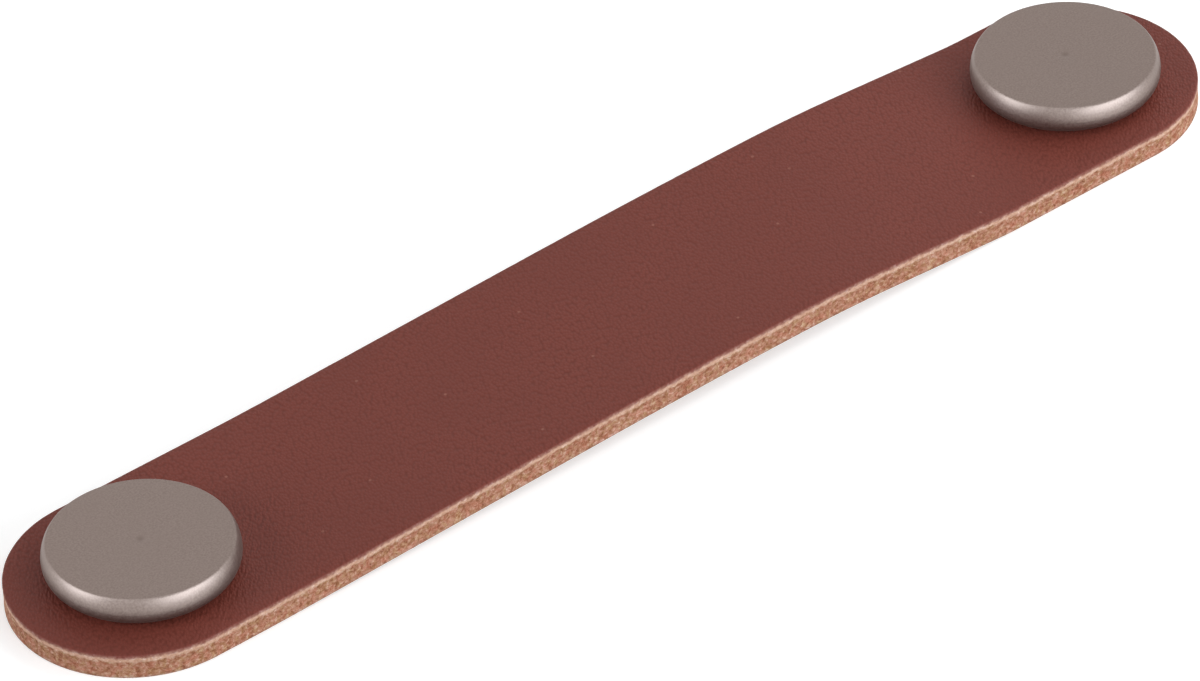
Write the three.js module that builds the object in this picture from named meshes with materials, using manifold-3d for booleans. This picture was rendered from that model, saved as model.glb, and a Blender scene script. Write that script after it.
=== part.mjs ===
// Strap handle for a drawer or cabinet door: a leather strap with a turned metal head at each end.
// Millimetres. The XY plane is the face that the handle is screwed to, +Z points away from it,
// +X runs along the strap, and the origin lies midway between the two heads.
import * as THREE from 'three';
import { ParametricGeometry } from 'three/addons/geometries/ParametricGeometry.js';
import { mergeVertices } from 'three/addons/utils/BufferGeometryUtils.js';
import Module from 'manifold-3d';

// Strap
const holeSpacing = 128;
const strapWidth = 28;
const tipReach = 15;
const leatherThickness = 3;
const grainEdgeRound = 0.25;
const fleshEdgeRound = 0.15;

// Arch that the leather has taken between its flat ends. It bends about lines that lie at a slant.
const archRise = 1.54;
const archSlant = 29;
const crestOffset = 22;
const footEase = 0.12;
const crestEase = 0.4;
const flatMargin = 0.25;

// Head
const headDiameter = 21.2;
const headThickness = 3.8;
const rimInset = 0.55;
const rimRound = 0.15;
const bellyHeight = 2.45;
const seatInset = 1.5;
const shoulderReach = 0.6;
const sideFullness = 0.5;
const seatReach = 0.25;
const seatRise = 0.08;
const centreMarkDiameter = 0.9;
const centreMarkDepth = 0.08;

// Boss behind the head, and the blind hole in it for an M4 screw
const screwCoreDiameter = 3.3;
const bossWall = 2.05;
const bossClearance = 0.3;
const bossSetback = 0.3;
const bossEdgeChamfer = 0.3;
const mouthChamfer = 0.5;
const metalOverScrew = 1.1;
const drillPointAngle = 118;

// Facets
const archSteps = 44;
const tipSegments = 28;
const edgeSteps = 2;
const headSegments = 64;
const bellySteps = 5;

const halfWidth = strapWidth / 2;
const holeCentre = holeSpacing / 2;
const tipCentre = holeCentre + tipReach - halfWidth;
const headRadius = headDiameter / 2;
const seatRadius = headRadius - seatInset;
const archStart = holeCentre - (seatRadius + flatMargin) / Math.cos(THREE.MathUtils.degToRad(archSlant));
const archSlope = Math.tan(THREE.MathUtils.degToRad(archSlant));
const bossRadius = screwCoreDiameter / 2 + bossWall;
const holeRadius = bossRadius + bossClearance;
const sideSteps = archSteps + 2;
const lapSteps = 2 * (sideSteps + tipSegments);

const leatherFinish = { color: 0x75433c, roughness: 0.6, metalness: 0 };
const metalFinish = { color: 0x8d7e77, roughness: 0.4, metalness: 1 };

// Share of the full rise at a share of the way up a ramp: straight, eased at its foot and at the crest.
function rampShare(along) {
  const s = THREE.MathUtils.clamp(along, 0, 1);
  const slope = 1 / (1 - footEase / 2 - crestEase / 2);
  if (s < footEase) {
    return (slope * s * s) / (2 * footEase);
  }
  if (s < 1 - crestEase) {
    return slope * (s - footEase / 2);
  }
  return 1 - (slope * (1 - s) ** 2) / (2 * crestEase);
}

// Height of the strap's underside over the mounting face. The crest lies to the right of the middle,
// and the slant takes the whole arch further right on the far edge than on the near one.
function archHeight(x, y) {
  const place = x - archSlope * y;
  const along = place < crestOffset
    ? (place + archStart) / (archStart + crestOffset)
    : (archStart - place) / (archStart - crestOffset);
  return archRise * rampShare(along);
}

// Where a step along the strap's middle lies: the arch in even steps, and one long step over each flat end.
function sidePlace(step) {
  if (step === 0 || step === sideSteps) {
    return step === 0 ? -tipCentre : tipCentre;
  }
  return archStart * ((2 * (step - 1)) / archSteps - 1);
}

// Point of the strap's outline, moved inwards by an inset. Near side, right tip, far side, left tip.
// On the sides the arch's steps slide along with its slant, as far as the tips.
function outlinePoint(step, inset) {
  const radius = halfWidth - inset;
  const halfLap = lapSteps / 2;
  const place = step % lapSteps;
  const along = place % halfLap;
  const side = place < halfLap ? 1 : -1;
  if (along <= sideSteps) {
    const y = -side * radius;
    const slide = along > 0 && along < sideSteps ? archSlope * y : 0;
    return new THREE.Vector2(THREE.MathUtils.clamp(side * sidePlace(along) + slide, -tipCentre, tipCentre), y);
  }
  const angle = (Math.PI * (along - sideSteps)) / tipSegments;
  return new THREE.Vector2(side * (tipCentre + radius * Math.sin(angle)), -side * radius * Math.cos(angle));
}

// Quarter round of an edge as [inset, height] pairs, from the flat face round to the cut side.
function edgeRound(radius, faceHeight, direction) {
  return Array.from({ length: edgeSteps + 1 }, (_, step) => {
    const turn = (step / edgeSteps) * (Math.PI / 2);
    return [radius * (1 - Math.sin(turn)), faceHeight - direction * radius * (1 - Math.cos(turn))];
  });
}

// Half section of the strap: from the middle of the flesh side over the cut edge to the grain side.
function strapSection() {
  return [
    [halfWidth, 0],
    [halfWidth / 2, 0],
    ...edgeRound(fleshEdgeRound, 0, -1),
    ...edgeRound(grainEdgeRound, leatherThickness, 1).reverse(),
    [halfWidth / 2, leatherThickness],
    [halfWidth, leatherThickness],
  ];
}

const wasm = await Module();
wasm.setup();

// Solid from a closed geometry. Triangles that have shrunk to a line are dropped.
function solidOf(geometry) {
  const bare = geometry.clone();
  bare.deleteAttribute('normal');
  bare.deleteAttribute('uv');
  const merged = mergeVertices(bare);
  const triVerts = [];
  for (let i = 0; i < merged.index.count; i += 3) {
    const [a, b, c] = [0, 1, 2].map((corner) => merged.index.getX(i + corner));
    if (a !== b && b !== c && c !== a) {
      triVerts.push(a, b, c);
    }
  }
  return new wasm.Manifold(new wasm.Mesh({
    numProp: 3,
    vertProperties: merged.attributes.position.array,
    triVerts: new Uint32Array(triVerts),
  }));
}

function geometryOf(solid) {
  const mesh = solid.getMesh();
  const geometry = new THREE.BufferGeometry();
  geometry.setAttribute('position', new THREE.BufferAttribute(new Float32Array(mesh.vertProperties), 3));
  geometry.setIndex(new THREE.BufferAttribute(new Uint32Array(mesh.triVerts), 1));
  geometry.computeVertexNormals();
  return geometry;
}

// Strap: its half section is carried once round the outline, and the holes are punched through it.
function strapGeometry() {
  const section = strapSection();
  const skin = new ParametricGeometry((u, v, target) => {
    const [inset, height] = section[Math.round(v * (section.length - 1))];
    const { x, y } = outlinePoint(Math.round(u * lapSteps), inset);
    target.set(x, y, height + archHeight(x, y));
  }, lapSteps, section.length - 1);
  const holes = [-holeCentre, holeCentre].map((x) => {
    const punch = new THREE.CylinderGeometry(holeRadius, holeRadius, 3 * leatherThickness, headSegments);
    return solidOf(punch.rotateX(Math.PI / 2).translate(x, 0, leatherThickness / 2));
  });
  return geometryOf(holes.reduce((strap, hole) => strap.subtract(hole), solidOf(skin)));
}

// Profile of a head, turned about the screw's axis: face, rim, belly, seat on the leather, boss, screw hole.
function headProfile() {
  const face = leatherThickness + headThickness;
  const rimRadius = headRadius - rimInset;
  const belly = leatherThickness + bellyHeight;
  const markRadius = centreMarkDiameter / 2;
  const coreRadius = screwCoreDiameter / 2;
  const holeTop = face - metalOverScrew;
  const pointHeight = coreRadius / Math.tan(THREE.MathUtils.degToRad(drillPointAngle / 2));
  const profile = new THREE.Path();
  profile.moveTo(0, face - centreMarkDepth);
  profile.lineTo(markRadius / 2, face - centreMarkDepth);
  profile.lineTo(markRadius, face);
  profile.lineTo(rimRadius - rimRound, face);
  profile.quadraticCurveTo(rimRadius, face, rimRadius + rimRound / 2, face - rimRound);
  profile.bezierCurveTo(
    rimRadius + rimInset * shoulderReach, face - (face - belly) * sideFullness,
    headRadius, belly + (face - belly) * sideFullness,
    headRadius, belly,
  );
  profile.bezierCurveTo(
    headRadius, belly - bellyHeight * sideFullness,
    seatRadius + seatInset * seatReach, leatherThickness + bellyHeight * seatRise,
    seatRadius, leatherThickness,
  );
  profile.lineTo(bossRadius, leatherThickness);
  profile.lineTo(bossRadius, bossSetback + bossEdgeChamfer);
  profile.lineTo(bossRadius - bossEdgeChamfer, bossSetback);
  profile.lineTo(coreRadius + mouthChamfer, bossSetback);
  profile.lineTo(coreRadius, bossSetback + mouthChamfer);
  profile.lineTo(coreRadius, holeTop - pointHeight);
  profile.lineTo(0, holeTop);
  return profile.getPoints(bellySteps);
}

function headGeometry() {
  return new THREE.LatheGeometry(headProfile().reverse(), headSegments).rotateX(Math.PI / 2);
}

function piece(name, geometry, finish) {
  const mesh = new THREE.Mesh(geometry, new THREE.MeshStandardMaterial(finish));
  mesh.name = name;
  return mesh;
}

const handle = new THREE.Group();
handle.add(piece('leather_strap', strapGeometry(), leatherFinish));
for (const [name, x] of [['left_head', -holeCentre], ['right_head', holeCentre]]) {
  const head = piece(name, headGeometry(), metalFinish);
  head.position.x = x;
  handle.add(head);
}

export default handle;
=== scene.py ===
"""Strap handle for a drawer or cabinet door: a leather strap with a turned metal head at each end."""

import math

import bmesh
import bpy
from mathutils import Matrix, Vector, geometry, noise


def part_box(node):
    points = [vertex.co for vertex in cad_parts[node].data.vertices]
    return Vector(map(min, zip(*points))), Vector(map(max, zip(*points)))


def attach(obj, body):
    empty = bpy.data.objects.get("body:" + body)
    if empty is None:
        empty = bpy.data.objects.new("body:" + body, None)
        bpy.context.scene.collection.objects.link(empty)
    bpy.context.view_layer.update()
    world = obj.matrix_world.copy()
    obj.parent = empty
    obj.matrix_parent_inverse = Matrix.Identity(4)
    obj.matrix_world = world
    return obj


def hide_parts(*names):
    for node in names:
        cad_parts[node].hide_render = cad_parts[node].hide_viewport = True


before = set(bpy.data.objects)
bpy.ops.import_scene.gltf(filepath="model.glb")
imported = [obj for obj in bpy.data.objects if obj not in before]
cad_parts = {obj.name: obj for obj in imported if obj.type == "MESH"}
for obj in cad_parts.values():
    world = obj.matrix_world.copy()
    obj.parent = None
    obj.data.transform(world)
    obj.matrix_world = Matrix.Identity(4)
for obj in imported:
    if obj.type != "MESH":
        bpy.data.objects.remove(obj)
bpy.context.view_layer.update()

MM = 0.001

# Sizes that the frame gives
strap_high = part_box("leather_strap")[1]
head_low, head_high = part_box("right_head")
half_width = strap_high.y
hole_centre = (head_low.x + head_high.x) / 2
head_radius = (head_high.x - head_low.x) / 2
tip_centre = strap_high.x - half_width

# Leather
LEATHER = 3 * MM
GRAIN_ROUND = 0.25 * MM
FLESH_ROUND = 0.15 * MM
EDGE_ROLL = 0.05 * MM
ROLL_REACH = 1.1 * MM
HOLE_RADIUS = 4 * MM
HOLE_EASE = 0.15 * MM

# Unevenness of the cut side. Each wave is (strength, waves to the millimetre).
CUT_ROUGHNESS = 0.06 * MM
CUT_HOLLOW = 0.04 * MM
CUT_WAVES = ((0.55, 1.1), (0.5, 2.6))

# Arch between the flat ends, as in the solids
ARCH_RISE = 1.54 * MM
ARCH_SLANT = math.radians(29)
CREST_OFFSET = 22 * MM
FOOT_EASE = 0.12
CREST_EASE = 0.4
FLAT_MARGIN = 0.25 * MM

# Face and side of a head. The widest ring lies a little lower than in the solids.
RIM_INSET = 0.55 * MM
RIM_ROUND = 0.15 * MM
RIM_PULL = 0.4
BELLY_HEIGHT = 2.0 * MM
SEAT_INSET = 1.5 * MM
SHOULDER_REACH = 0.94
SHOULDER_FULLNESS = 0.47
SIDE_FULLNESS = 0.05
BELLY_FULLNESS = 0.38
SEAT_REACH = 0.9
SEAT_RISE = 0.37
FACE_RINGS = (1.5 * MM, 4 * MM, 7 * MM)

# Mark that turning leaves in the middle of a face
MARK_RADIUS = 0.45 * MM
MARK_FLOOR_RADIUS = MARK_RADIUS * 0.35
MARK_DEPTH = 0.08 * MM

# Boss behind a head, and the blind hole in it for an M4 screw
BOSS_RADIUS = 3.7 * MM
BOSS_CHAMFER = 0.3 * MM
CORE_RADIUS = 1.65 * MM
MOUTH_CHAMFER = 0.5 * MM
METAL_OVER_SCREW = 1.1 * MM
DRILL_POINT_ANGLE = 118
THREAD_PITCH = 0.7 * MM
THREAD_DEPTH = 0.33 * MM
THREAD_FLANK = 2.3
THREAD_LEAD_IN = 0.3 * MM
THREAD_RUN_OUT = 0.8 * MM

# Mesh fineness
SIDE_STEPS = 430
TIP_STEPS = 146
FACE_STEPS = 8
WALL_STEPS = 11
ROUND_STEPS = 4
HEAD_STEPS = 144
CURVE_STEPS = 10
THREAD_ROWS = 56
TINY = 0.001 * MM
STRAP_SHARP_ANGLE = 50
HEAD_SHARP_ANGLE = 35

seat_radius = head_radius - SEAT_INSET
arch_start = hole_centre - (seat_radius + FLAT_MARGIN) / math.cos(ARCH_SLANT)


def clamp(value, low, high):
    return max(low, min(high, value))


def smooth_share(value, low, high):
    """0 below low, 1 above high and an even curve between them."""
    share = clamp((value - low) / (high - low), 0, 1)
    return share * share * (3 - 2 * share)


# Form of the strap


def ramp_share(along):
    """Share of the full rise on a ramp: straight, eased at its foot and at the crest."""
    s = clamp(along, 0, 1)
    slope = 1 / (1 - FOOT_EASE / 2 - CREST_EASE / 2)
    if s < FOOT_EASE:
        return slope * s * s / (2 * FOOT_EASE)
    if s < 1 - CREST_EASE:
        return slope * (s - FOOT_EASE / 2)
    return 1 - slope * (1 - s) ** 2 / (2 * CREST_EASE)


def arch_height(x, y):
    """Height of the strap's underside over the mounting face."""
    place = x - y * math.tan(ARCH_SLANT)
    if place < CREST_OFFSET:
        return ARCH_RISE * ramp_share((place + arch_start) / (arch_start + CREST_OFFSET))
    return ARCH_RISE * ramp_share((arch_start - place) / (arch_start - CREST_OFFSET))


def face_points(edge_radius, height, roll):
    """Points across a face as (inset, height), from the strap's middle to where the edge starts to turn."""
    points = []
    for step in range(FACE_STEPS):
        inset = edge_radius + (half_width - edge_radius) * (1 - step / FACE_STEPS) ** 2
        nearness = max(0, 1 - (inset - edge_radius) / ROLL_REACH)
        points.append((inset, height - roll * nearness ** 2))
    return points


def edge_round(radius, face, direction):
    """Quarter round of an edge as (inset, height), from the flat face round to the cut side."""
    turns = [step / ROUND_STEPS * math.pi / 2 for step in range(ROUND_STEPS + 1)]
    return [
        (radius * (1 - math.sin(turn)), face - direction * radius * (1 - math.cos(turn)))
        for turn in turns
    ]


def strap_half_section():
    """Half section as (inset, height), from the middle of the flesh side to that of the grain side."""
    grain_edge = LEATHER - EDGE_ROLL
    wall_height = grain_edge - GRAIN_ROUND - FLESH_ROUND
    flesh = face_points(FLESH_ROUND, 0, 0) + edge_round(FLESH_ROUND, 0, -1)
    wall = [(0, FLESH_ROUND + wall_height * step / WALL_STEPS) for step in range(1, WALL_STEPS)]
    grain = face_points(GRAIN_ROUND, LEATHER, EDGE_ROLL) + edge_round(GRAIN_ROUND, grain_edge, 1)
    return flesh + wall + grain[::-1]


def from_spine(point):
    """How far a point lies from the strap's spine, and the flat direction from the spine to it."""
    spine = Vector((clamp(point.x, -tip_centre, tip_centre), 0, 0))
    away = Vector((point.x, point.y, 0)) - spine
    return away.length, away.normalized()


def rim_place(point, height):
    """Place on the cut side: the way round the outline, wound on a circle of the same length."""
    side = 2 * tip_centre
    tip = math.pi * half_width
    if abs(point.x) <= tip_centre:
        way = tip_centre + point.x if point.y < 0 else side + tip + tip_centre - point.x
    elif point.x > 0:
        way = side + half_width * (math.atan2(point.y, point.x - tip_centre) + math.pi / 2)
    else:
        way = 2 * side + tip + half_width * (math.atan2(-point.y, -point.x - tip_centre) + math.pi / 2)
    circle = (side + tip) / math.pi
    return Vector((circle * math.cos(way / circle), circle * math.sin(way / circle), height))


def roughened(point):
    """A point of the cut side moved inwards, by its fibres' unevenness and the side's slight hollow."""
    distance, direction = from_spine(point)
    if half_width - distance > GRAIN_ROUND:
        return point
    place = rim_place(point, point.z) / MM
    share = 0.5
    for strength, waves in CUT_WAVES:
        share += strength * noise.noise(place * waves)
    middle = math.sin(math.pi * clamp(point.z / LEATHER, 0, 1))
    depth = CUT_ROUGHNESS * clamp(share, 0, 1) * math.sqrt(middle) + CUT_HOLLOW * middle
    return point - direction * depth


def finished_piece(bm, name):
    """Puts a bmesh in a new object at the origin."""
    mesh = bpy.data.meshes.new(name)
    bm.to_mesh(mesh)
    bm.free()
    piece = bpy.data.objects.new(name, mesh)
    bpy.context.scene.collection.objects.link(piece)
    return piece


def shade(piece, sharp_angle):
    """Smooth shading, with edges kept sharp past an angle in degrees."""
    piece.data.shade_smooth()
    piece.data.set_sharp_from_angle(angle=math.radians(sharp_angle))


def turned_bmesh(profile, x):
    """Revolves a profile of (radius, height) about the upright axis at x."""
    bm = bmesh.new()
    line = [bm.verts.new((x + radius, 0, height)) for radius, height in profile]
    edges = [bm.edges.new(pair) for pair in zip(line, line[1:])]
    bmesh.ops.spin(
        bm, geom=line + edges, cent=(x, 0, 0), axis=(0, 0, 1), angle=2 * math.pi,
        steps=HEAD_STEPS, use_merge=True,
    )
    bmesh.ops.remove_doubles(bm, verts=bm.verts, dist=TINY)
    bmesh.ops.recalc_face_normals(bm, faces=bm.faces)
    return bm


def swept_strap():
    """Carries the half section once round the outline: near side, right tip, far side, left tip."""
    bm = bmesh.new()
    section = strap_half_section()
    line = [bm.verts.new((-tip_centre, inset - half_width, height)) for inset, height in section]
    swept = line + [bm.edges.new(pair) for pair in zip(line, line[1:])]
    for side in (1, -1):
        step = side * 2 * tip_centre / SIDE_STEPS
        swept = bmesh.ops.spin(
            bm, geom=swept, cent=(0, 0, 0), axis=(0, 0, 1), dvec=(step, 0, 0), angle=0,
            steps=SIDE_STEPS,
        )["geom_last"]
        swept = bmesh.ops.spin(
            bm, geom=swept, cent=(side * tip_centre, 0, 0), axis=(0, 0, 1), angle=math.pi,
            steps=TIP_STEPS,
        )["geom_last"]
    bmesh.ops.remove_doubles(bm, verts=bm.verts, dist=TINY)
    bmesh.ops.recalc_face_normals(bm, faces=bm.faces)
    return bm


def uncut_strap():
    """The strap with its rough cut side and its arch, before the holes are punched."""
    bm = swept_strap()
    for vertex in bm.verts:
        vertex.co = roughened(vertex.co)
        vertex.co.z += arch_height(vertex.co.x, vertex.co.y)
    return finished_piece(bm, "strap")


def punch_hole(strap, x):
    """Punches the hole at x, a little wider at the flesh side."""
    mouth_radius = HOLE_RADIUS + HOLE_EASE
    profile = [
        (0, -LEATHER), (mouth_radius, -LEATHER), (mouth_radius, 0),
        (HOLE_RADIUS, HOLE_EASE), (HOLE_RADIUS, 2 * LEATHER), (0, 2 * LEATHER),
    ]
    cutter = finished_piece(turned_bmesh(profile, x), "punch")
    cut = strap.modifiers.new("hole", "BOOLEAN")
    cut.operation = "DIFFERENCE"
    cut.solver = "EXACT"
    cut.object = cutter
    punched = strap.evaluated_get(bpy.context.evaluated_depsgraph_get())
    cut_mesh = bpy.data.meshes.new_from_object(punched)
    strap.modifiers.remove(cut)
    strap.data = cut_mesh
    bpy.data.objects.remove(cutter)


def mark_layers(strap):
    """Notes in mm, on every point, how deep it lies under the grain side and its place on the cut side."""
    mesh = strap.data
    depth = mesh.attributes.new("depth", "FLOAT", "POINT")
    place = mesh.attributes.new("rim_place", "FLOAT_VECTOR", "POINT")
    for vertex in mesh.vertices:
        height = vertex.co.z - arch_height(vertex.co.x, vertex.co.y)
        depth.data[vertex.index].value = (LEATHER - height) / MM
        place.data[vertex.index].vector = rim_place(vertex.co, height) / MM


def leather_strap():
    strap = uncut_strap()
    for x in (-hole_centre, hole_centre):
        punch_hole(strap, x)
    mark_layers(strap)
    shade(strap, STRAP_SHARP_ANGLE)
    strap.data.materials.clear()
    strap.data.materials.append(leather_material())
    return strap


# Form of a head


def bend_points(start, first_pull, second_pull, end):
    """Points of a curve after its start, as (radius, height)."""
    knots = [Vector((radius, height, 0)) for radius, height in (start, first_pull, second_pull, end)]
    curve = geometry.interpolate_bezier(knots[0], knots[1], knots[2], knots[3], CURVE_STEPS)
    return [(point.x, point.y) for point in curve[1:]]


def face_profile(rim_start):
    """From the mark in the middle of the face out to where the rim starts to turn."""
    face = head_high.z
    mark_floor = face - MARK_DEPTH
    mark = [(0, mark_floor), (MARK_FLOOR_RADIUS, mark_floor), (MARK_RADIUS, face)]
    rings = [(radius, face) for radius in FACE_RINGS]
    return mark + rings + [rim_start]


def side_profile():
    """From the middle of the face over the rim, the shoulder and the belly down to the seat."""
    face = head_high.z
    belly = LEATHER + BELLY_HEIGHT
    rim_radius = head_radius - RIM_INSET
    rim_start = (rim_radius - RIM_ROUND, face)
    rim_end = (rim_radius + RIM_ROUND / 2, face - RIM_ROUND)
    widest = (head_radius, belly)
    seat = (seat_radius, LEATHER)
    rim = bend_points(
        rim_start,
        (rim_radius - RIM_ROUND * RIM_PULL, face),
        (rim_radius, face - RIM_ROUND * RIM_PULL),
        rim_end,
    )
    shoulder = bend_points(
        rim_end,
        (rim_radius + RIM_INSET * SHOULDER_REACH, face - (face - belly) * SHOULDER_FULLNESS),
        (head_radius, belly + (face - belly) * SIDE_FULLNESS),
        widest,
    )
    underside = bend_points(
        widest,
        (head_radius, belly - BELLY_HEIGHT * BELLY_FULLNESS),
        (seat_radius + SEAT_INSET * SEAT_REACH, LEATHER + BELLY_HEIGHT * SEAT_RISE),
        seat,
    )
    return face_profile(rim_start) + rim + shoulder + underside


def head_profile():
    """Whole profile of a head, and the lowest and highest point of its screw thread."""
    boss_end = head_low.z
    hole_top = head_high.z - METAL_OVER_SCREW
    thread_low = boss_end + MOUTH_CHAMFER
    thread_high = hole_top - CORE_RADIUS / math.tan(math.radians(DRILL_POINT_ANGLE / 2))
    boss = [
        (BOSS_RADIUS, LEATHER),
        (BOSS_RADIUS, boss_end + BOSS_CHAMFER),
        (BOSS_RADIUS - BOSS_CHAMFER, boss_end),
        (CORE_RADIUS + MOUTH_CHAMFER, boss_end),
    ]
    thread_length = thread_high - thread_low
    rows = [thread_low + thread_length * row / THREAD_ROWS for row in range(THREAD_ROWS + 1)]
    bore = [(CORE_RADIUS, height) for height in rows]
    return side_profile() + boss + bore + [(0, hole_top)], thread_low, thread_high


def cut_thread(bm, x, low, high):
    """Sinks a screw thread into the wall of the hole between two heights."""
    for vertex in bm.verts:
        away = Vector((vertex.co.x - x, vertex.co.y, 0))
        height = vertex.co.z
        if abs(away.length - CORE_RADIUS) > TINY or not low - TINY < height < high + TINY:
            continue
        turn = math.atan2(away.y, away.x) / (2 * math.pi)
        phase = (height / THREAD_PITCH - turn) % 1
        groove = clamp(THREAD_FLANK / 2 - THREAD_FLANK * abs(2 * phase - 1), 0, 1)
        ends = smooth_share(height, low, low + THREAD_LEAD_IN)
        ends *= 1 - smooth_share(height, high - THREAD_RUN_OUT, high)
        vertex.co += away.normalized() * THREAD_DEPTH * groove * ends


def turned_head(name, x, metal):
    profile, thread_low, thread_high = head_profile()
    bm = turned_bmesh(profile, x)
    cut_thread(bm, x, thread_low, thread_high)
    head = finished_piece(bm, name)
    shade(head, HEAD_SHARP_ANGLE)
    head.data.materials.append(metal)
    return head


# Tools for materials


def tone(red, green, blue):
    """A colour written as 0 to 255 on screen, as Blender's linear values."""
    def linear(value):
        share = value / 255
        return share / 12.92 if share <= 0.04045 else ((share + 0.055) / 1.055) ** 2.4
    return (linear(red), linear(green), linear(blue), 1)


def new_material(name):
    material = bpy.data.materials.new(name)
    material.use_nodes = True
    return material, material.node_tree, material.node_tree.nodes["Principled BSDF"]


def add_node(tree, kind, inputs=None, **settings):
    """Adds a node. Each input is a value or the output that feeds it."""
    node = tree.nodes.new(kind)
    for key, value in settings.items():
        setattr(node, key, value)
    for key, value in (inputs or {}).items():
        if isinstance(value, bpy.types.NodeSocket):
            tree.links.new(value, node.inputs[key])
        else:
            node.inputs[key].default_value = value
    return node


def maths(tree, operation, first, second, clamped=False):
    settings = {"operation": operation, "use_clamp": clamped}
    return add_node(tree, "ShaderNodeMath", {0: first, 1: second}, **settings).outputs[0]


def between(tree, value, low, high, out_low=0.0, out_high=1.0):
    """Maps a value smoothly from one range to another."""
    node = add_node(
        tree, "ShaderNodeMapRange",
        {"Value": value, "From Min": low, "From Max": high, "To Min": out_low, "To Max": out_high},
        interpolation_type="SMOOTHSTEP",
    )
    return node.outputs["Result"]


def noise_of(tree, place, scale, detail=3.0, roughness=0.55, distortion=0.0):
    node = add_node(tree, "ShaderNodeTexNoise", {
        "Vector": place, "Scale": scale, "Detail": detail,
        "Roughness": roughness, "Distortion": distortion,
    })
    return node.outputs["Fac"]


# A Mix node has its own numbered inputs and output for plain values, vectors and colours.


def mixed_value(tree, share, first, second):
    inputs = {0: share, 2: first, 3: second}
    return add_node(tree, "ShaderNodeMix", inputs, data_type="FLOAT").outputs[0]


def mixed_vector(tree, share, first, second):
    inputs = {0: share, 4: first, 5: second}
    return add_node(tree, "ShaderNodeMix", inputs, data_type="VECTOR").outputs[1]


def mixed(tree, share, first, second, blend="MIX"):
    """Mixes two colours."""
    inputs = {0: share, 6: first, 7: second}
    return add_node(tree, "ShaderNodeMix", inputs, data_type="RGBA", blend_type=blend).outputs[2]


def tinted(tree, colour, tint):
    return mixed(tree, 1.0, colour, tint, "MULTIPLY")


def scaled_place(tree, place, scale):
    return add_node(tree, "ShaderNodeMapping", {"Vector": place, "Scale": scale}).outputs["Vector"]


def laid_place(tree, place, turn, size):
    """Coordinates for a pattern turned in the strap's plane by an angle in degrees, with cells of a size."""
    inputs = {"Vector": place, "Rotation": (0, 0, math.radians(turn)), "Scale": size}
    return add_node(tree, "ShaderNodeMapping", inputs, vector_type="TEXTURE").outputs["Vector"]


def colour_bands(tree, value, bands):
    """Colours along a value: bands is a list of (place from 0 to 1, colour)."""
    node = add_node(tree, "ShaderNodeValToRGB", {"Fac": value})
    ramp = node.color_ramp
    ramp.elements[0].position, ramp.elements[0].color = bands[0]
    ramp.elements[1].position, ramp.elements[1].color = bands[-1]
    for position, colour in bands[1:-1]:
        ramp.elements.new(position).color = colour
    return node.outputs["Color"]


def bumped(tree, height, distance):
    inputs = {"Height": height, "Distance": distance, "Strength": 1.0}
    return add_node(tree, "ShaderNodeBump", inputs).outputs["Normal"]


# Leather. A range holds the values of a pattern between which an effect comes in.
# A name that ends in WAVES counts waves to the millimetre.

NOISE_RANGE = (0.3, 0.7)
PEBBLE_TURN = -25
PEBBLE_SIZE = (0.30 * MM, 0.52 * MM, 0.3 * MM)
PEBBLE_SOFTNESS = 0.7
PEBBLE_RANGE = (0.2, 0.8)
WRINKLE_TURN = -42
WRINKLE_SIZE = (0.26 * MM, 1.5 * MM, 0.3 * MM)
WRINKLE_SHARE = 0.9
GRAIN_LIGHT = tone(112, 51, 40)
GRAIN_DARK = tone(98, 42, 31)
MOTTLE_SIZE = 9 * MM
MOTTLE_COLOUR = tone(103, 47, 37)
MOTTLE_STRENGTH = 0.5
SPECK_SPACING = 14 * MM
SPECK_COLOUR = tone(180, 125, 105)
SPECK_STRENGTH = 0.25
SPECK_RANGE = (0.016, 0.008)
GRAIN_BUMP = 0.05 * MM
GRAIN_GLOSS_SIZE = 0.16 * MM
GRAIN_ROUGHNESS = 0.46
GRAIN_ROUGHNESS_SPREAD = 0.16
CUT_FACE_ROUGHNESS = 0.85
LEATHER_SPECULAR = 0.23

# Layers of the cut side, from the grain down: (share of the thickness, colour)
CUT_LAYERS = [
    (0.03, tone(123, 72, 61)),
    (0.075, tone(135, 86, 72)),
    (0.125, tone(154, 110, 93)),
    (0.175, tone(188, 144, 121)),
    (0.25, tone(190, 146, 121)),
    (0.30, tone(166, 123, 98)),
    (0.335, tone(156, 107, 82)),
    (0.6, tone(159, 107, 82)),
    (0.85, tone(161, 110, 84)),
    (1.0, tone(154, 113, 93)),
]
# Depths under the grain between which the cut side, its open fibres and the flesh side begin
CUT_DEPTHS = (EDGE_ROLL, 0.2 * MM)
BODY_DEPTHS = (0.78 * MM, 1.02 * MM)
FLESH_DEPTHS = (2.93 * MM, 2.99 * MM)

# Patterns of the cut side. Tints are (value of the pattern, what it multiplies the colour by).
FIBRE_WAVES = 1.9
FIBRE_STRETCH = (1, 1, 1.3)
FIBRE_TINTS = [
    (0.28, (0.38, 0.26, 0.19, 1)),
    (0.43, (0.77, 0.66, 0.58, 1)),
    (0.57, (1.12, 1.26, 1.40, 1)),
    (0.75, (1.7, 2.5, 3.4, 1)),
]
FIBRE_STRENGTH_AT_LINE = 0.45
FIBRE_BUMP = 0.12 * MM
FLECK_WAVES = 3.4
FLECK_STRETCH = (1, 1, 1.6)
FLECK_BUMP_SHARE = 0.4
FLECK_RANGE = (0.38, 0.30)
# Pits, where the fibres and flecks lie lowest, get painted shade.
PIT_SHADE_RANGE = (0.55, 0.42)
PIT_SHADE_COLOUR = tone(105, 58, 44)
RAGGED_WAVES = 1.6
RAGGED_SHIFT = 0.75
WAVY_WAVES = 0.35
WAVY_SHIFT = 0.3
BLUSH_WAVES = 1.3
BLUSH_TINTS = [
    (0.36, (0.97, 1.04, 0.86, 1)),
    (0.5, (1, 1, 1, 1)),
    (0.64, (1.04, 0.89, 0.87, 1)),
]

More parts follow.
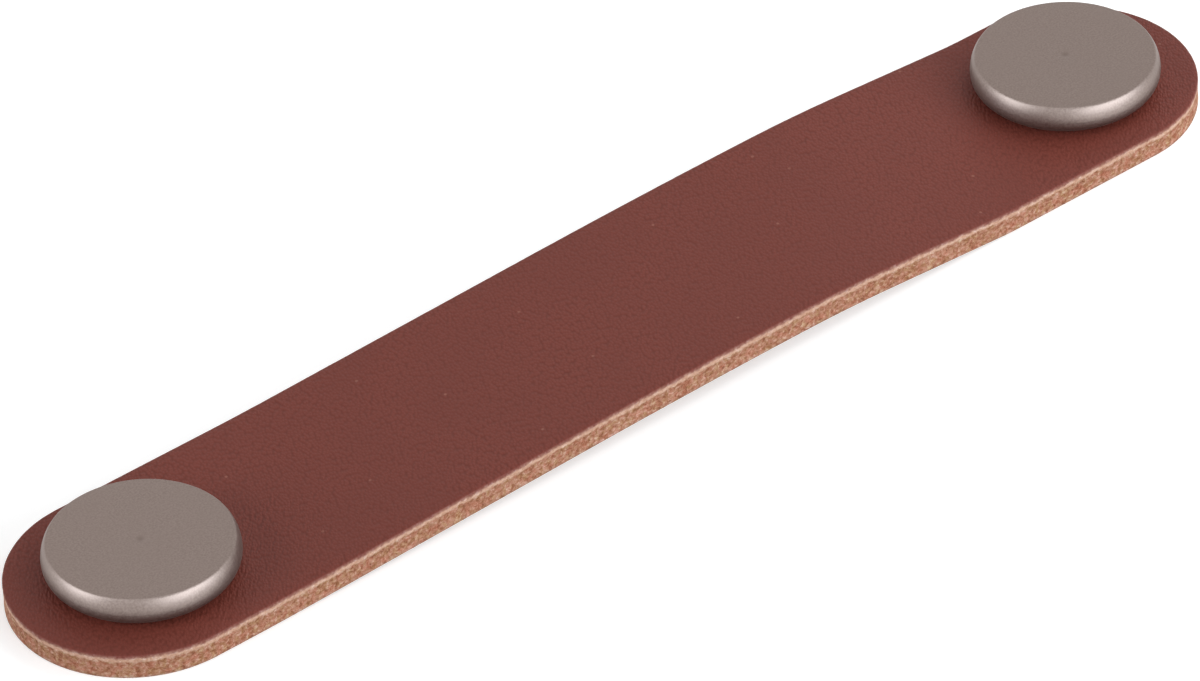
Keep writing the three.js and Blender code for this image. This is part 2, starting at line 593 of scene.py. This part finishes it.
# Flesh side
NAP_SIZE = 0.45 * MM
NAP_COLOURS = [(0.3, tone(138, 94, 70)), (0.7, tone(190, 146, 116))]
FLESH_CLOUD_SIZE = 6 * MM
FLESH_CLOUD_COLOUR = tone(150, 104, 80)
FLESH_CLOUD_STRENGTH = 0.4


def grain_side(tree, place):
    """Colour and height of the finished side: fine pebbles and wrinkles that lie at a slant."""
    pebble_place = laid_place(tree, place, PEBBLE_TURN, PEBBLE_SIZE)
    pebbles = add_node(
        tree, "ShaderNodeTexVoronoi", {"Vector": pebble_place, "Scale": 1.0, "Smoothness": PEBBLE_SOFTNESS},
        feature="SMOOTH_F1", voronoi_dimensions="2D",
    ).outputs["Distance"]
    wrinkle_place = laid_place(tree, place, WRINKLE_TURN, WRINKLE_SIZE)
    wrinkles = add_node(
        tree, "ShaderNodeTexNoise", {"Vector": wrinkle_place, "Scale": 1.0, "Detail": 1.0, "Roughness": 0.4},
        noise_dimensions="2D",
    ).outputs["Fac"]
    height = maths(tree, "SUBTRACT", maths(tree, "MULTIPLY", wrinkles, WRINKLE_SHARE), pebbles)
    mottle = noise_of(tree, place, 1 / MOTTLE_SIZE)
    specks = add_node(
        tree, "ShaderNodeTexVoronoi", {"Vector": place, "Scale": 1 / SPECK_SPACING},
        feature="F1", voronoi_dimensions="2D",
    ).outputs["Distance"]
    colour = mixed(tree, between(tree, pebbles, *PEBBLE_RANGE), GRAIN_LIGHT, GRAIN_DARK)
    mottle_share = between(tree, mottle, *NOISE_RANGE, out_high=MOTTLE_STRENGTH)
    colour = mixed(tree, mottle_share, colour, MOTTLE_COLOUR)
    speck_share = between(tree, specks, *SPECK_RANGE, out_high=SPECK_STRENGTH)
    return mixed(tree, speck_share, colour, SPECK_COLOUR), height


def past_depth(tree, depth, start, end):
    """Share that grows from 0 to 1 between two depths. The depth that feeds it is in millimetres."""
    return between(tree, depth, start / MM, end / MM)


def layer_depth(tree, rim, depth):
    """Depth under the grain in millimetres, made to waver along the cut."""
    ragged = maths(tree, "SUBTRACT", noise_of(tree, rim, RAGGED_WAVES, detail=4.0, roughness=0.6), 0.5)
    wavy = maths(tree, "SUBTRACT", noise_of(tree, rim, WAVY_WAVES, detail=2.0), 0.5)
    ragged_shift = maths(tree, "MULTIPLY", ragged, RAGGED_SHIFT)
    wavy_shift = maths(tree, "MULTIPLY", wavy, WAVY_SHIFT)
    below_edge = past_depth(tree, depth, EDGE_ROLL, GRAIN_ROUND)
    shift = maths(tree, "MULTIPLY", maths(tree, "ADD", ragged_shift, wavy_shift), below_edge)
    return maths(tree, "ADD", depth, shift)


def cut_side(tree, rim, band):
    """Colour and height of the raw cut: pale line under the grain, then open fibres with painted shade in
    their pits.
    """
    fibre_place = scaled_place(tree, rim, FIBRE_STRETCH)
    fibres = noise_of(tree, fibre_place, FIBRE_WAVES, detail=5.0, roughness=0.68, distortion=0.5)
    fleck_place = scaled_place(tree, rim, FLECK_STRETCH)
    flecks = noise_of(tree, fleck_place, FLECK_WAVES, detail=2.0, roughness=0.5)
    body_share = past_depth(tree, band, *BODY_DEPTHS)

    layers = colour_bands(tree, maths(tree, "DIVIDE", band, LEATHER / MM), CUT_LAYERS)
    blush = colour_bands(tree, noise_of(tree, rim, BLUSH_WAVES), BLUSH_TINTS)
    layers = mixed(tree, body_share, layers, tinted(tree, layers, blush))
    fibre_strength = mixed_value(tree, body_share, FIBRE_STRENGTH_AT_LINE, 1.0)
    fibre_tint = colour_bands(tree, fibres, FIBRE_TINTS)
    colour = mixed(tree, fibre_strength, layers, tinted(tree, layers, fibre_tint))

    fleck_share = between(tree, flecks, *FLECK_RANGE)
    pit_shade_share = maths(tree, "MULTIPLY", fleck_share, between(tree, fibres, *PIT_SHADE_RANGE))
    # Painted shade in the pits, where the cut's height is lowest.
    colour = mixed(tree, maths(tree, "MULTIPLY", pit_shade_share, body_share), colour, PIT_SHADE_COLOUR)
    height = maths(tree, "ADD", fibres, maths(tree, "MULTIPLY", flecks, FLECK_BUMP_SHARE))
    return colour, height


def flesh_side(tree, place):
    """Colour and height of the raw underside's short nap."""
    nap = noise_of(tree, place, 1 / NAP_SIZE, detail=5.0, roughness=0.65, distortion=0.3)
    cloud = noise_of(tree, place, 1 / FLESH_CLOUD_SIZE)
    cloud_share = between(tree, cloud, *NOISE_RANGE, out_high=FLESH_CLOUD_STRENGTH)
    return mixed(tree, cloud_share, colour_bands(tree, nap, NAP_COLOURS), FLESH_CLOUD_COLOUR), nap


def leather_material():
    """Reddish brown finished grain, pale line under it, fibrous tan cut and napped flesh side."""
    material, tree, shader = new_material("leather")
    place = add_node(tree, "ShaderNodeTexCoord").outputs["Object"]
    depth = add_node(tree, "ShaderNodeAttribute", attribute_name="depth").outputs["Fac"]
    rim = add_node(tree, "ShaderNodeAttribute", attribute_name="rim_place").outputs["Vector"]
    band = layer_depth(tree, rim, depth)
    cut_share = past_depth(tree, band, *CUT_DEPTHS)
    flesh_share = past_depth(tree, depth, *FLESH_DEPTHS)
    grain_colour, grain_height = grain_side(tree, place)
    cut_colour, cut_height = cut_side(tree, rim, band)
    flesh_colour, nap = flesh_side(tree, place)

    colour = mixed(tree, cut_share, grain_colour, cut_colour)
    colour = mixed(tree, flesh_share, colour, flesh_colour)
    tree.links.new(colour, shader.inputs["Base Color"])

    fine = noise_of(tree, place, 1 / GRAIN_GLOSS_SIZE, detail=2.0)
    uneven = maths(tree, "MULTIPLY", fine, GRAIN_ROUGHNESS_SPREAD)
    grain_roughness = maths(tree, "ADD", GRAIN_ROUGHNESS, uneven)
    roughness = mixed_value(tree, cut_share, grain_roughness, CUT_FACE_ROUGHNESS)
    tree.links.new(roughness, shader.inputs["Roughness"])
    shader.inputs["Specular IOR Level"].default_value = LEATHER_SPECULAR

    grain_normal = bumped(tree, grain_height, GRAIN_BUMP)
    raw_normal = bumped(tree, mixed_value(tree, flesh_share, cut_height, nap), FIBRE_BUMP)
    tree.links.new(mixed_vector(tree, cut_share, grain_normal, raw_normal), shader.inputs["Normal"])
    return material


# Metal

METAL_DARK = tone(130, 115, 108)
METAL_LIGHT = tone(144, 129, 122)
METAL_CLOUD = tone(137, 122, 115)
# Painted shade that darkens the small dimple in the middle of each face.
METAL_MARK_SHADE = tone(127, 112, 105)
BLAST_RANGE = (0.35, 0.65)
BLAST_SIZE = 0.22 * MM
BLAST_BUMP = 0.004 * MM
METAL_CLOUD_SIZE = 4 * MM
METAL_CLOUD_STRENGTH = 0.3
METAL_ROUGHNESS = (0.42, 0.50)
MARK_SHADE_FADE = (MARK_RADIUS * 1.5, MARK_RADIUS * 0.2)


def centre_dimple_shade(tree, place):
    """Share of the painted shade in the small dimple that turning leaves in the middle of a face."""
    folded = add_node(tree, "ShaderNodeVectorMath", {0: place}, operation="ABSOLUTE").outputs[0]
    flat = scaled_place(tree, folded, (1, 1, 0))
    middle = (hole_centre, 0, 0)
    distance = add_node(tree, "ShaderNodeVectorMath", {0: flat, 1: middle}, operation="DISTANCE")
    return between(tree, distance.outputs["Value"], *MARK_SHADE_FADE)


def metal_material():
    """Grey-brown metal with a fine blasted satin finish."""
    material, tree, shader = new_material("satin_metal")
    place = add_node(tree, "ShaderNodeTexCoord").outputs["Object"]
    speckle = noise_of(tree, place, 1 / BLAST_SIZE, roughness=0.6)
    cloud = noise_of(tree, place, 1 / METAL_CLOUD_SIZE)
    colour = mixed(tree, between(tree, speckle, *BLAST_RANGE), METAL_DARK, METAL_LIGHT)
    cloud_share = between(tree, cloud, *NOISE_RANGE, out_high=METAL_CLOUD_STRENGTH)
    colour = mixed(tree, cloud_share, colour, METAL_CLOUD)
    # Painted shade over the small dimple in the middle of each face.
    colour = mixed(tree, centre_dimple_shade(tree, place), colour, METAL_MARK_SHADE)
    tree.links.new(colour, shader.inputs["Base Color"])
    shader.inputs["Metallic"].default_value = 1.0
    roughness = between(tree, speckle, *NOISE_RANGE, *METAL_ROUGHNESS)
    tree.links.new(roughness, shader.inputs["Roughness"])
    tree.links.new(bumped(tree, speckle, BLAST_BUMP), shader.inputs["Normal"])
    return material


# Stage

ROOM_BRIGHTNESS = 0.12
LAMP_COLOUR = (0.90, 1.03, 1.13)
LAMP_DISTANCE = 1.1
FLOOR_GLOW = 0.45
FLOOR_COLOUR = (0.785, 0.71, 0.66, 1)
FLOOR_ROUGHNESS = 0.9
FLOOR_SIZE = 4
FLOOR_DROP = 0.02 * MM


def seen_share(tree):
    """1 where the camera sees the surroundings, straight on, mirrored or through something, else 0."""
    rays = add_node(tree, "ShaderNodeLightPath")
    mirrored = maths(tree, "ADD", rays.outputs["Is Glossy Ray"], rays.outputs["Is Transmission Ray"])
    return maths(tree, "ADD", rays.outputs["Is Camera Ray"], mirrored, clamped=True)


def pale_floor():
    """White floor that keeps the handle's shadow. A little light of its own makes it white on camera."""
    bm = bmesh.new()
    bmesh.ops.create_grid(bm, x_segments=1, y_segments=1, size=FLOOR_SIZE)
    bmesh.ops.translate(bm, verts=bm.verts, vec=(0, 0, -FLOOR_DROP))
    floor = finished_piece(bm, "floor")
    material, tree, shader = new_material("pale_floor")
    shader.inputs["Base Color"].default_value = FLOOR_COLOUR
    shader.inputs["Roughness"].default_value = FLOOR_ROUGHNESS
    shader.inputs["Emission Color"].default_value = (1, 1, 1, 1)
    glow = maths(tree, "MULTIPLY", seen_share(tree), FLOOR_GLOW)
    tree.links.new(glow, shader.inputs["Emission Strength"])
    floor.data.materials.append(material)


def studio_world():
    """White surroundings on camera and in mirrored light, which light the handle only a little."""
    world = bpy.data.worlds.new("studio")
    world.use_nodes = True
    tree = world.node_tree
    background = tree.nodes["Background"]
    strength = mixed_value(tree, seen_share(tree), ROOM_BRIGHTNESS, 1.0)
    tree.links.new(strength, background.inputs["Strength"])
    background.inputs["Color"].default_value = (1, 1, 1, 1)
    bpy.context.scene.world = world


def direction_to(azimuth, elevation):
    """Direction from the handle, in degrees. Azimuth 0 is in front, and 90 to the right."""
    a = math.radians(azimuth)
    e = math.radians(elevation)
    return Vector((math.sin(a) * math.cos(e), -math.cos(a) * math.cos(e), math.sin(e)))


def softbox(name, azimuth, elevation, size, brightness, distance=LAMP_DISTANCE):
    """A soft lamp of a width and height, aimed at the handle."""
    width, height = size
    towards = direction_to(azimuth, elevation)
    lamp = bpy.data.lights.new(name, "AREA")
    lamp.shape = "RECTANGLE"
    lamp.size = width
    lamp.size_y = height
    lamp.energy = brightness * math.pi * width * height
    lamp.color = LAMP_COLOUR
    light = bpy.data.objects.new(name, lamp)
    turn = towards.to_track_quat("Z", "Y").to_matrix().to_4x4()
    light.matrix_world = Matrix.Translation(towards * distance) @ turn
    light.visible_camera = False
    bpy.context.scene.collection.objects.link(light)
    return light


def soft_lamps():
    """Two strong lamps and two weak ones that the metal mirrors, and two that it doesn't."""
    softbox("front_softbox", azimuth=14, elevation=16, size=(1.3, 0.8), brightness=5.2)
    softbox("left_softbox", azimuth=-106, elevation=20, size=(0.7, 0.8), brightness=5.0)
    softbox("near_softbox", azimuth=-37, elevation=22, size=(0.9, 0.7), brightness=0.2)
    softbox("overhead_softbox", azimuth=-37, elevation=72, size=(0.9, 0.4), brightness=0.6)
    back = softbox("back_softbox", azimuth=143, elevation=25, size=(0.9, 0.6), brightness=1.1)
    right = softbox(
        "right_softbox", azimuth=80, elevation=45, size=(0.34, 0.34), brightness=1.95, distance=0.36,
    )
    for fill in (back, right):
        fill.visible_glossy = False


# Camera, solved from the photograph's outline

CAMERA_AZIMUTH = -37.043
CAMERA_ELEVATION = 37.695
CAMERA_ROLL = -2.992
CAMERA_DISTANCE = 1.01108
CAMERA_SLIDE = (-2.071 * MM, -0.169 * MM)
FOCAL_PIXELS = 9354.4
IMAGE_WIDTH = 1200
SENSOR_WIDTH = 36
NEAREST_SEEN = 0.1
FURTHEST_SEEN = 20


def photo_camera():
    back = direction_to(CAMERA_AZIMUTH, CAMERA_ELEVATION)
    turn = back.to_track_quat("Z", "Y").to_matrix() @ Matrix.Rotation(math.radians(CAMERA_ROLL), 3, "Z")
    lens = bpy.data.cameras.new("camera")
    lens.sensor_width = SENSOR_WIDTH
    lens.lens = FOCAL_PIXELS * SENSOR_WIDTH / IMAGE_WIDTH
    lens.clip_start = NEAREST_SEEN
    lens.clip_end = FURTHEST_SEEN
    camera = bpy.data.objects.new("camera", lens)
    place = turn @ Vector((*CAMERA_SLIDE, CAMERA_DISTANCE))
    camera.matrix_world = Matrix.Translation(place) @ turn.to_4x4()
    bpy.context.scene.collection.objects.link(camera)
    bpy.context.scene.camera = camera


# Heads: (name of the piece, CAD node that it stands for, place along the strap)
HEADS = (
    ("left_turned_head", "left_head", -hole_centre),
    ("right_turned_head", "right_head", hole_centre),
)

photo_camera()
studio_world()
pale_floor()
soft_lamps()

metal = metal_material()
strap = leather_strap()
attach(strap, "root")
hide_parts("leather_strap")
for piece_name, node, x in HEADS:
    head = turned_head(piece_name, x, metal)
    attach(head, "root")
    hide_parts(node)

bpy.context.scene.view_settings.view_transform = "Standard"
